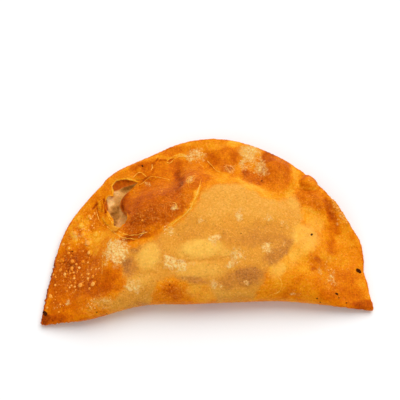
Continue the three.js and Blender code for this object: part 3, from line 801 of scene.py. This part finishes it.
def burst_group():
    """Tiny burst blisters: masks for their ragged pale crust, the crumbs and the gaps on it, and a height"""
    group, given = new_group("Burst blisters", {"Patch": 0}, ["Crust", "Crumbs", "Gaps", "Height"])
    where, patch = given["Vector"], given["Patch"]
    ragged = (noise_at(group, where, 480, 6, 0.8) - 0.5) * 3.2
    crust = (patch + ragged).ranged(0.3, 0.8) * patch.ranged(0.05, 0.25)
    crumbs = (noise_at(group, where, 1000, 4, 0.7) + patch * 0.1).ranged(0.52, 0.62) * crust
    distance, chance = cells_at(group, where, 720)
    gaps = distance.ranged(0.42, 0.2) * (chance + patch * 0.25).ranged(0.54, 0.4)
    return closed(group, Crust=crust, Crumbs=crumbs, Gaps=gaps * crust, Height=crumbs + crust * 0.4)


def flecks_group():
    """Scattered flecks, as round spots: more and larger ones where the amount is high"""
    group, given = new_group("Flecks", {"Amount": 0.3, "Scale": 500}, ["Mask"])
    distance, chance = cells_at(group, given["Vector"], given["Scale"])
    size = ((given["Amount"] - chance) * 0.9).at_most(0.42)
    return closed(group, Mask=(size - distance).ranged(-0.06, 0.14))


def pores_group():
    """Pinholes and orange peel of fried skin, as a height"""
    group, given = new_group("Pores", {"Scale": 900}, ["Height", "Pinholes"])
    where, scale = given["Vector"], given["Scale"]
    distance, chance = cells_at(group, where, scale)
    pinholes = distance.ranged(0.3, 0.12) * chance.ranged(0.55, 0.75)
    return closed(group, Height=noise_at(group, where, scale, 3) - pinholes * 0.5, Pinholes=pinholes)


FRYING = uneven_group("Frying", TOAST_STEPS)
SANDY = uneven_group("Sandy skin", SAND_STEPS)
INNER_DOUGH = uneven_group("Inner dough", INNER_STEPS)
BLISTERED = uneven_group("Blisters", BLISTER_STEPS)
BURST = burst_group()
FLECKS = flecks_group()
PORES = pores_group()


def new_material(name, gloss=0.1):
    material = bpy.data.materials.new(name)
    material.use_nodes = True
    shader = material.node_tree.nodes["Principled BSDF"]
    feed(shader, Specular_IOR_Level=gloss, Specular_Tint=OILY)
    return material, material.node_tree, shader


def places_on(tree):
    return Wire(put(tree, "TexCoord").outputs["Object"])


def mask(tree, name):
    settings = {"attribute_type": "GEOMETRY", "attribute_name": name}
    return Wire(put(tree, "Attribute", settings).outputs["Fac"])


def fried_dough():
    material, tree, shader = new_material("fried dough", gloss=0.08)
    where = places_on(tree)
    toast_and_painted_light, window, torn, flecks = (mask(tree, name) for name in ("toast_and_painted_light", "window", "torn", "flecks"))
    fried = use(tree, FRYING, Value=toast_and_painted_light, Mottling=0.22, Freckles=0.22, Vector=where)
    sandy = use(tree, SANDY, Value=mask(tree, "sand_and_shade"), Mottling=0.24, Freckles=0.42, Vector=where)
    inner = use(tree, INNER_DOUGH, Value=mask(tree, "inner"), Mottling=0.2, Freckles=0.26, Vector=where)
    light_flecks = use(tree, FLECKS, Amount=flecks * 0.45, Scale=900, Vector=where)["Mask"]
    dark_flecks = use(tree, FLECKS, Amount=flecks * 0.6, Scale=1050, Vector=where)["Mask"]
    burst = use(tree, BURST, Patch=mask(tree, "crumbs"), Vector=where)
    pores = use(tree, PORES, Vector=where)
    grain = noise_at(tree, where, 300, 6, 0.6)
    dust_and_glints = noise_at(tree, where, 1050, 4, 0.85)
    glow = mask(tree, "glow") * grain.ranged(0.3, 0.6, 0.65, 1)
    # Painted shade for the hole's far wall, steep sides and slit: deep red-brown, softer in places by the
    # grain
    shaded_wall = blend(tree, grain.ranged(0.35, 0.62), WALL_SHADE_DEEP, WALL_SHADE_SOFT)
    skin_only = 1 - torn
    pale = toast_and_painted_light.ranged(0.35, 0.62, 0.32, 0) + flecks * 0.05 + window * 0.1
    colour = fried["Color"]
    for share, over in (
        (window, sandy["Color"]),
        (glow * 0.9, YELLOW),
        (light_flecks * 0.5, LIGHT_FLECK),
        (dark_flecks * 0.5, FLECK_BROWN),
        (burst["Crust"] * 0.66, PALE_CRUST),
        (burst["Crumbs"] * 0.82, CREAM),
        (burst["Gaps"] * 0.66, GAP),
        (torn, inner["Color"]),
        (mask(tree, "shaded_wall"), shaded_wall),
        # Light specks: cream grain on the pale skin, and on the flecked places paler specks that are partly
        # painted glints of the oily skin
        (dust_and_glints.ranged(0.54, 0.74) * (skin_only * pale), CREAM),
        (dust_and_glints.ranged(0.52, 0.66) * (flecks * 0.42) * skin_only, PALE_CRUST),
    ):
        colour = blend(tree, share, colour, over)
    # A grey multiplier: tone that differs at random, with painted shade in the pinholes, and none on the
    # crumbly crust
    shade = dust_and_glints.ranged(0.28, 0.7, 0.79, 1.06) * pores["Pinholes"].ranged(0, 1, 1, 0.72)
    shade = shade + (1 - shade) * (burst["Crust"] * 0.9)
    grey = Wire(put(tree, "CombineColor", Red=shade, Green=shade, Blue=shade).outputs[0])
    height = pores["Height"] + burst["Height"] * 0.8 + light_flecks * 0.6
    feed(
        shader,
        Base_Color=blend(tree, 1, colour, grey, "MULTIPLY"),
        Normal=Wire(put(tree, "Bump", Strength=0.6, Distance=0.3 * MM, Height=height).outputs[0]),
        Roughness=grain.ranged(0.3, 0.7, 0.34, 0.5) + burst["Crust"] * 0.25,
        Subsurface_Weight=0.3,
        Subsurface_Radius=(1, 0.4, 0.1),
        Subsurface_Scale=1.2 * MM,
    )
    return material


def bubble_skin():
    material, tree, shader = new_material("bubble skin", gloss=0.25)
    toast_and_painted_light = mask(tree, "toast_and_painted_light")
    fried = use(tree, BLISTERED, Value=toast_and_painted_light, Mottling=0.1, Freckles=0.1, Vector=places_on(tree))
    feed(shader, Base_Color=fried["Color"], Roughness=fried["Value"].ranged(0.2, 0.8, 0.22, 0.4))
    return material


def skin_edge():
    material, tree, shader = new_material("skin edge")
    fried = use(tree, FRYING, Value=0.2, Mottling=0.5, Freckles=0.4, Vector=places_on(tree))
    feed(shader, Base_Color=fried["Color"], Roughness=fried["Value"].ranged(0.1, 0.6, 0.3, 0.5))
    return material


def burnt():
    material, tree, shader = new_material("burnt")
    soot = noise_at(tree, places_on(tree), 1800, 3)
    colour = blend(tree, soot.ranged(0.4, 0.75), BURNT, BURNT_LIGHT)
    feed(shader, Base_Color=colour, Roughness=soot.ranged(0.3, 0.7, 0.5, 0.8))
    return material


# Pieces on the skin

def skin_finder(crust):
    """A function that gives the skin's point and normal above a place of the plan, in metres"""
    tree = BVHTree.FromObject(crust, bpy.context.evaluated_depsgraph_get())

    def find(x, y):
        return tree.ray_cast(on_table(x, y, 2 * HIGH.z), Vector((0, 0, -1)))[:2]
    return find


def mesh_piece(name, corners, faces):
    mesh = bpy.data.meshes.new(name)
    mesh.from_pydata(corners, [], faces)
    piece = bpy.data.objects.new(name, mesh)
    bpy.context.collection.objects.link(piece)
    return piece


def thin_sheet(name, corners, faces, thickness):
    """A sheet whose faces all turn upwards, thickened downwards and rounded"""
    piece = mesh_piece(name, corners, faces)
    with editing(piece, "SELECT"):
        bpy.ops.mesh.normals_make_consistent(inside=False)
    if sum(face.normal.z for face in piece.data.polygons) < 0:
        piece.data.flip_normals()
    finish_with(piece, "SOLIDIFY", thickness=thickness * MM, offset=-1)
    finish_with(piece, "SUBSURF", levels=1, render_levels=1)
    return piece


def lumps(name, subdivisions, spots):
    """One piece of many lumps: each spot is a middle, a normal, a radius, a height and how toasted it is.
    A lump has a painted highlight round its top, and painted shade at its foot."""
    deselect_all()
    bpy.ops.mesh.primitive_ico_sphere_add(subdivisions=subdivisions, radius=1)
    lump = bpy.context.object
    shape = np.array([vertex.co[:] for vertex in lump.data.vertices])
    faces = [tuple(face.vertices) for face in lump.data.polygons]
    bpy.data.objects.remove(lump)
    corners, sides, toast_and_painted_light = [], [], []
    for middle, normal, radius, height, browned in spots:
        turn = normal.to_track_quat("Z", "Y").to_matrix()
        first = len(corners)
        for x, y, z in shape:
            corners.append(middle + turn @ Vector((x * radius, y * radius, z * height)))
            # Painted highlight round the top, painted shade at the foot
            toast_and_painted_light.append(browned - 0.12 * smooth(z, 1, 0.8) + 0.5 * smooth(z, 0.75, 0.15))
        sides += [tuple(first + index for index in face) for face in faces]
    piece = mesh_piece(name, corners, sides)
    paint(piece, "toast_and_painted_light", np.array(toast_and_painted_light))
    return piece


def scattered(field, count, dice, crowding=0.5):
    """Plan places inside a zone by chance, closer together in its middle where crowding is above a half"""
    cos, sin = heading(field.turn)
    for _ in range(int(count)):
        angle = dice.uniform(0, 2 * math.pi)
        reach = dice.random() ** crowding
        u, v = field.a * reach * math.cos(angle), field.b * reach * math.sin(angle)
        yield field.x + u * cos - v * sin, field.y + u * sin + v * cos


def scattered_blisters():
    """Places and radii of the smaller blisters, by chance"""
    dice = random.Random(SKIN_SEED + 2)
    for field in BLISTER_FIELDS:
        for x, y in scattered(field, field.amount, dice):
            yield x, y, dice.uniform(*BLISTER_RADIUS)


def blisters(name, places, subdivisions, find):
    """Glossy lumps at places on the skin: those on browned skin are made lighter than it, as a painted
    highlight
    """
    dice = random.Random(SKIN_SEED + 5)
    places = list(places)
    x, y, _ = np.array(places).T
    below = painted(Places(x, y, 0 * x, 0 * x + 1, 0 * x), PLAIN_TOAST, TOAST_AND_PAINTED_SHADE)
    spots = []
    for (x, y, radius), skin in zip(places, below):
        point, normal = find(x, y)
        if point and normal.z > STEEPEST:
            width = radius * MM
            # Painted highlight: blisters on browned skin are made lighter than the skin below
            browned = skin - dice.uniform(0.1, 0.45) * smooth(skin, 0.4, 0.66) * min(1, radius / 0.6)
            height = width * dice.uniform(0.45, 0.7)
            spots.append((point - normal * width * 0.25, normal, width, height, browned))
    return lumps(name, subdivisions, spots)


def crumb_blisters(find):
    """Lumps of the crumbly patches, by chance, spread evenly inside each"""
    dice = random.Random(SKIN_SEED + 3)
    spots = []
    for zone in CRUMBLY:
        for x, y in scattered(zone, 1.1 * zone.a * zone.b * zone.amount, dice, crowding=0.6):
            radius = dice.uniform(0.14, 0.36) * MM
            point, normal = find(x, y)
            if point and normal.z > STEEPEST:
                width, browned = radius * dice.uniform(0.9, 1.5), dice.uniform(-0.1, 0.22)
                spots.append((point - normal * radius * 0.3, normal, width, radius * 0.6, browned))
    return lumps("crumb_blisters", 1, spots)


def burnt_specks(find):
    """Each speck is a heap of five flat lumps"""
    dice = random.Random(SKIN_SEED + 4)
    spots = []
    for x, y, radius in SPECKS:
        shift = radius * 0.45
        for _ in range(5):
            point, normal = find(x + dice.uniform(-shift, shift), y + dice.uniform(-shift, shift))
            if point:
                size = radius * dice.uniform(0.45, 0.75) * MM
                spots.append((point - normal * size * 0.1, normal, size, size * 0.35, 1))
    return lumps("burnt_specks", 2, spots)


def straight_route(points, step, shake=0.3):
    """Points about a step apart, in millimetres, along straight sides, with a little shake"""
    for start, end in zip(points, points[1:]):
        count = max(1, round(math.dist(start, end) / step))
        for index in range(count):
            x, y = Vector(start).lerp(Vector(end), index / count)
            yield [a + shake * noise.noise((x / 0.8, y / 0.8, layer)) for a, layer in ((x, 7), (y, 17))]


def smooth_route(points, step, shake=0.35):
    """Points about a step apart, in millimetres, on a curve through the given ones, with a little shake"""
    route = []
    ends = [np.array(point) for point in [points[0]] + points + [points[-1]]]
    for p0, p1, p2, p3 in zip(ends, ends[1:], ends[2:], ends[3:]):
        count = max(1, round(math.dist(p1, p2) / step))
        for index in range(count):
            t = index / count
            bend = (2 * p0 - 5 * p1 + 4 * p2 - p3) * t * t + (3 * p1 - p0 - 3 * p2 + p3) * t ** 3
            route.append(0.5 * (2 * p1 + (p2 - p0) * t + bend))
    route.append(ends[-1])
    return [
        [a + shake * noise.noise((x / 1.7, y / 1.7, layer)) for a, layer in ((x, 5), (y, 9))]
        for x, y in route
    ]


def flake_places(outline, middle_rise, tip, turn, find):
    """Places round a flake, in its own tipped plane"""
    middle_x, middle_y = np.mean(outline, axis=0)
    point, normal = find(middle_x, middle_y)
    cos, sin = heading(turn)
    for x, y in straight_route(outline + outline[:1], 0.6):
        across, along = x - middle_x, y - middle_y
        slope = -(normal.x * across + normal.y * along) / normal.z
        rise = middle_rise + tip * (across * cos + along * sin)
        yield on_table(x, y, point.z + (slope + rise) * MM)


def skin_flakes(find):
    """The flakes as thin plates, a little bulged: an outer ring, an inner ring and a middle"""
    corners, faces = [], []
    for flake in FLAKES:
        outline = list(flake_places(*flake, find))
        middle = sum(outline, Vector()) / len(outline)
        first, count = len(corners), len(outline)
        for share, bulge in ((1, 0), (0.6, 0.08)):
            corners += [middle + (place - middle) * share + Vector((0, 0, bulge * MM)) for place in outline]
        corners.append(middle + Vector((0, 0, 0.1 * MM)))
        for index in range(count):
            here, after = first + index, first + (index + 1) % count
            faces.append((here, after, after + count, here + count))
            faces.append((here + count, after + count, first + 2 * count))
    return thin_sheet("skin_flakes", corners, faces, 0.26)


def skin_edges(find):
    """Ledges of broken skin along the cracks: each rises from the skin and leans over to one side"""
    corners, faces = [], []
    for points, highest in CRACKS:
        route = smooth_route(points, 0.45)
        last = len(route) - 1
        for index, (x, y) in enumerate(route):
            along = Vector(route[min(index + 1, last)]) - Vector(route[max(index - 1, 0)])
            side = Vector((along.y, -along.x)).normalized()
            thin = math.sin(math.pi * min(max(index / last, 0.03), 0.97)) ** 0.5
            uneven = min(max(0.7 + 1.2 * noise.noise((x / 1.8, y / 1.8, 3)), 0.3), 1.2)
            lip = highest * thin * uneven
            for reach, rise in ((-0.3, -0.15), (-0.02, 0.4 * lip), (0.13, lip)):
                place = Vector((x, y)) + side * reach * (0.5 + 0.5 * uneven)
                point, _ = find(*place)
                corners.append(on_table(*place, point.z + rise * MM))
            if index:
                here = len(corners) - 3
                faces += [(here + row - 3, here + row, here + row + 1, here + row - 2) for row in (0, 1)]
    return thin_sheet("skin_edges", corners, faces, 0.16)


def torn_skin(find):
    """The broken skin round the hole: a thin sheet that reaches over the hollow with a ragged edge"""
    route = smooth_route(TEAR + TEAR[:1], 0.5)[:-1]
    count, depth = len(route), len(RIM_STANDING)
    middle = Vector(np.mean(route, axis=0))
    corners, faces = [], []
    for index, (x, y) in enumerate(route):
        # The edge's direction is that between the stations four before and four after
        along = (Vector(route[(index + 4) % count]) - Vector(route[index - 4])).normalized()
        outward = Vector((along.y, -along.x))
        if outward.dot(Vector((x, y)) - middle) < 0:
            outward = -outward
        ragged = 0.55 * noise.noise((x / 0.9, y / 0.9, 12)) + 0.5 * noise.noise((x / 2.6, y / 2.6, 15))
        lip, _ = find(x + outward.x * LIP_REACH, y + outward.y * LIP_REACH)
        for reach, rise in RIM_CURLED if x > CURLED_RIGHT_OF and y < CURLED_BELOW else RIM_STANDING:
            on_skin = reach >= 1
            place = Vector((x, y)) + outward * (reach if on_skin else reach + ragged)
            height = find(*place)[0].z if on_skin else lip.z + 0.25 * ragged * MM
            corners.append(on_table(*place, height + rise * MM))
        if not (x > CURLED_RIGHT_OF and BARE_RIM[0] < y < BARE_RIM[1]):
            here, after = index * depth, (index + 1) % count * depth
            for row in range(depth - 1):
                faces.append((here + row, after + row, after + row + 1, here + row + 1))
    return thin_sheet("torn_skin", corners, faces, 0.4)


def dress(piece, material, replaced=None):
    """Gives a finished piece its material and its place in the object"""
    pick(piece)
    bpy.ops.object.shade_smooth()
    piece.data.materials.clear()
    piece.data.materials.append(material)
    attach(piece, "root")
    if replaced:
        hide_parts(replaced)


# The studio

def facing(name, data, azimuth, elevation):
    """Adds a lamp or camera that looks back from a side, and gives the direction towards that side"""
    (cos_turn, sin_turn), (cos_rise, sin_rise) = heading(azimuth), heading(elevation)
    side = Vector((sin_turn * cos_rise, -cos_turn * cos_rise, sin_rise))
    placed = bpy.data.objects.new(name, data)
    placed.rotation_euler = side.to_track_quat("Z", "Y").to_euler()
    bpy.context.collection.objects.link(placed)
    return placed, side


def studio():
    deselect_all()
    bpy.ops.mesh.primitive_plane_add(size=4, location=(0, 0, 0))
    floor = bpy.context.object
    floor.name = "floor"
    paper, _, shader = new_material("white paper")
    feed(shader, Base_Color=(0.95, 0.95, 0.95, 1), Roughness=0.9)
    floor.data.materials.append(paper)
    floor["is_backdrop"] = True

    world = bpy.data.worlds.new("studio")
    bpy.context.scene.world = world
    world.use_nodes = True
    feed(world.node_tree.nodes["Background"], Color=(1, 1, 1, 1), Strength=0.4)

    # Each sun: azimuth seen from above, elevation, strength, and softness in degrees
    for name, azimuth, elevation, strength, soft in (("key", 150, 56, 2.3, 60), ("fill", -40, 40, 0.5, 90)):
        sun = bpy.data.lights.new(name, "SUN")
        sun.energy = strength
        sun.angle = math.radians(soft)
        facing(name, sun, azimuth, elevation)
    bpy.context.scene.view_settings.view_transform = "Standard"


def camera():
    lens = bpy.data.cameras.new("camera")
    lens.lens = LENS
    lens.sensor_width = SENSOR
    lens.clip_start = 0.01
    seen, back = facing("camera", lens, VIEW_AZIMUTH, VIEW_ELEVATION)
    seen.location = on_table(*AIM) + back * VIEW_DISTANCE
    bpy.context.scene.camera = seen


camera()
studio()

crust = make_crust()
relief(crust)
at = places_of(crust)
# The skin is lighter at the hole's edge: paler, and partly a painted highlight
paint_masks(crust, at, rim_distance(at), lighter=0.16 * near_outlines(at, [TEAR]))
dough = fried_dough()
dress(crust, dough, "empanada")

find_skin = skin_finder(crust)
FAR_FROM_RIM = 9  # the broken skin is all well inside the outline, where the rim browns nothing
for broken, outlines in (
    (torn_skin(find_skin), [TEAR]),
    (skin_flakes(find_skin), [flake[0] for flake in FLAKES]),
):
    at = places_of(broken)
    # The broken edges are lighter: paler, and partly a painted highlight
    paint_masks(broken, at, FAR_FROM_RIM, lighter=0.2 * near_outlines(at, outlines))
    dress(broken, dough)
glossy = bubble_skin()
dress(blisters("blisters", SMALL_BLISTERS, 3, find_skin), glossy)
dress(blisters("small_blisters", scattered_blisters(), 2, find_skin), glossy)
dress(crumb_blisters(find_skin), glossy)
dress(skin_edges(find_skin), skin_edge())
dress(burnt_specks(find_skin), burnt())

[[list(corner) for corner in box] for box in (CAD_BOX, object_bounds())]
